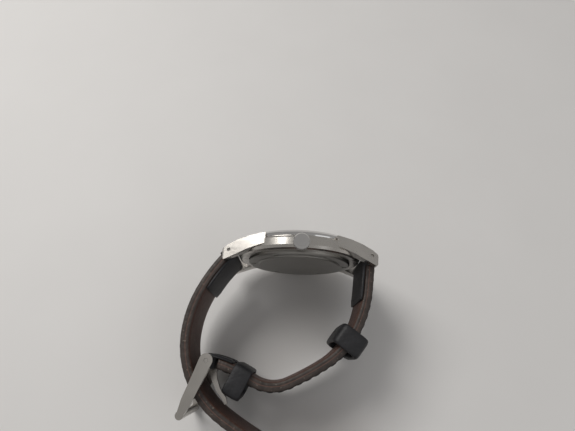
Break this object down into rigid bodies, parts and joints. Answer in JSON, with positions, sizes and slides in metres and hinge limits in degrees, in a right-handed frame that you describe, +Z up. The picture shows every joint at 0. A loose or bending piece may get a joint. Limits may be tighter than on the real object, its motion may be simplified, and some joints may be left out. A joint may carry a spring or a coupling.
{
  "type": "wristwatch",
  "caption": "Analogue wristwatch with a round steel case and leather strap, lying on its side with the strap's end passed through the open pin buckle.",
  "frame": {"origin": "centre of the bounding box in plan, on the surface the watch lies on", "axes": "+Z up from the surface; +X from six to twelve o'clock along the head; +Y roughly out of the dial, which leans back from the vertical; the crown points up"},
  "size_m": [0.067, 0.0685, 0.0414],
  "materials": {
    "case_steel": "satin brushed",
    "polished_steel": "polished",
    "satin_steel": "dull satin",
    "hand_steel": "polished",
    "crystal_glass": "clear polished",
    "white_plastic": "moulded",
    "black_rubber": "matte",
    "dial_paint": "silver-white satin",
    "brass_parts": "fine grained",
    "plated_bridge": "plated satin",
    "magnet_steel": "sintered",
    "board_plastic": "green board",
    "coil_wire": "enamelled copper wire",
    "outer_leather": "grained, worn edges",
    "lining_leather": "suede-like",
    "black_leather": "grained black",
    "buckle_steel": "satin faces, polished bevels"
  },
  "bodies": {
    "case": {"case_middle": "case_steel", "bezel": "polished_steel", "crystal": "crystal_glass", "crystal_gasket": "white_plastic", "dial_ring": "dial_paint", "dial": "dial_paint", "hour_markers": "hand_steel", "back_cover": "satin_steel", "back_gasket": "black_rubber", "movement_ring": "white_plastic", "main_plate": "brass_parts", "train_bridge": "plated_bridge", "bridge_screws": "case_steel", "battery": "plated_bridge", "battery_strap": "case_steel", "circuit_board": "board_plastic", "coil": "coil_wire", "stator": "magnet_steel", "crown_tube": "case_steel", "setting_lever": "case_steel", "rotor": "magnet_steel", "intermediate_wheel": "brass_parts", "third_wheel": "brass_parts", "bar_twelve": "case_steel", "bar_six": "case_steel", "bar_springs": "case_steel"},
    "crown_seat": {"crown_seal": "black_rubber"},
    "crown": {"crown": "polished_steel", "stem": "case_steel"},
    "seconds_train": {"seconds_wheel": "brass_parts", "seconds_hand": "hand_steel"},
    "minute_train": {"centre_wheel": "brass_parts", "minute_hand": "hand_steel"},
    "hour_train": {"hour_wheel": "brass_parts", "hour_hand": "hand_steel"},
    "minute_wheel": {"minute_wheel": "brass_parts"},
    "long_strap": {"long_strap_leather": "outer_leather", "long_strap_lining": "lining_leather", "long_strap_end_fold": "black_leather"},
    "short_strap": {"short_strap_leather": "outer_leather", "short_strap_lining": "lining_leather", "short_strap_end_fold": "black_leather", "short_strap_buckle_fold": "black_leather", "fixed_keeper": "black_leather", "bar_buckle": "case_steel", "buckle_bar_spring": "case_steel"},
    "free_keeper": {"free_keeper": "black_leather"},
    "buckle_frame": {"buckle_frame": "buckle_steel"},
    "buckle_tongue": {"buckle_tongue": "buckle_steel"},
    "twelve_tip_crown_side": {"twelve_tip_crown_side": "case_steel"},
    "twelve_tip_far_side": {"twelve_tip_far_side": "case_steel"},
    "six_tip_crown_side": {"six_tip_crown_side": "case_steel"},
    "six_tip_far_side": {"six_tip_far_side": "case_steel"},
    "buckle_tip_crown_side": {"buckle_tip_crown_side": "case_steel"},
    "buckle_tip_far_side": {"buckle_tip_far_side": "case_steel"}
  },
  "joints": [
    {"name": "crown_pull", "type": "slide", "parent": "case", "child": "crown_seat", "axis": [0, -0.1679, 0.9858], "range_m": [0, 0.0008]},
    {"name": "crown_turn", "type": "hinge", "parent": "crown_seat", "child": "crown", "pos_m": [0.00035, 0.02381, 0.03912], "axis": [0, -0.1679, 0.9858], "continuous": true},
    {"name": "seconds_turn", "type": "hinge", "parent": "case", "child": "seconds_train", "pos_m": [0.00035, 0.02579, 0.01917], "axis": [0, 0.9858, 0.1679], "continuous": true},
    {"name": "minute_turn", "type": "hinge", "parent": "case", "child": "minute_train", "pos_m": [0.00035, 0.02579, 0.01917], "axis": [0, 0.9858, 0.1679], "continuous": true},
    {"name": "hour_turn", "type": "hinge", "parent": "case", "child": "hour_train", "pos_m": [0.00035, 0.02579, 0.01917], "axis": [0, 0.9858, 0.1679], "continuous": true},
    {"name": "minute_wheel_turn", "type": "hinge", "parent": "case", "child": "minute_wheel", "pos_m": [0.00242, 0.02818, 0.01882], "axis": [0, 0.9858, 0.1679], "continuous": true},
    {"name": "long_strap_swing", "type": "hinge", "parent": "case", "child": "long_strap", "pos_m": [-0.02105, 0.02579, 0.01917], "axis": [0, -0.1679, 0.9858], "range_deg": [-2, 0]},
    {"name": "short_strap_swing", "type": "hinge", "parent": "case", "child": "short_strap", "pos_m": [0.02175, 0.02579, 0.01917], "axis": [0, -0.1679, 0.9858], "range_deg": [-1.5, 0]},
    {"name": "free_keeper_slide", "type": "hinge", "parent": "short_strap", "child": "free_keeper", "pos_m": [-0.00498, 0.01623, 0.01754], "axis": [0, -0.1679, 0.9858], "range_deg": [-6, 6]},
    {"name": "buckle_frame_swing", "type": "hinge", "parent": "short_strap", "child": "buckle_frame", "pos_m": [-0.02493, -0.00525, 0.01388], "axis": [0, -0.1679, 0.9858], "range_deg": [-40, 8]},
    {"name": "buckle_tongue_swing", "type": "hinge", "parent": "short_strap", "child": "buckle_tongue", "pos_m": [-0.02493, -0.00525, 0.01388], "axis": [0, -0.1679, 0.9858], "range_deg": [0, 3]},
    {"name": "twelve_tip_crown_side_slide", "type": "slide", "parent": "case", "child": "twelve_tip_crown_side", "axis": [0, 0.1679, -0.9858], "range_m": [0, 0.0023], "stiffness_N_per_m": 400, "springref_m": -0.001},
    {"name": "twelve_tip_far_side_slide", "type": "slide", "parent": "case", "child": "twelve_tip_far_side", "axis": [0, -0.1679, 0.9858], "range_m": [0, 0.0023], "stiffness_N_per_m": 400, "springref_m": -0.001},
    {"name": "six_tip_crown_side_slide", "type": "slide", "parent": "case", "child": "six_tip_crown_side", "axis": [0, 0.1679, -0.9858], "range_m": [0, 0.0023], "stiffness_N_per_m": 400, "springref_m": -0.001},
    {"name": "six_tip_far_side_slide", "type": "slide", "parent": "case", "child": "six_tip_far_side", "axis": [0, -0.1679, 0.9858], "range_m": [0, 0.0023], "stiffness_N_per_m": 400, "springref_m": -0.001},
    {"name": "buckle_tip_crown_side_slide", "type": "slide", "parent": "short_strap", "child": "buckle_tip_crown_side", "axis": [0, 0.1679, -0.9858], "range_m": [0, 0.0018], "stiffness_N_per_m": 400, "springref_m": -0.001},
    {"name": "buckle_tip_far_side_slide", "type": "slide", "parent": "short_strap", "child": "buckle_tip_far_side", "axis": [0, -0.1679, 0.9858], "range_m": [0, 0.0018], "stiffness_N_per_m": 400, "springref_m": -0.001}
  ],
  "couplings": [
    {"joint": "hour_turn", "follows": "minute_turn", "ratio": 0.083333},
    {"joint": "minute_wheel_turn", "follows": "minute_turn", "ratio": -0.33333}
  ]
}
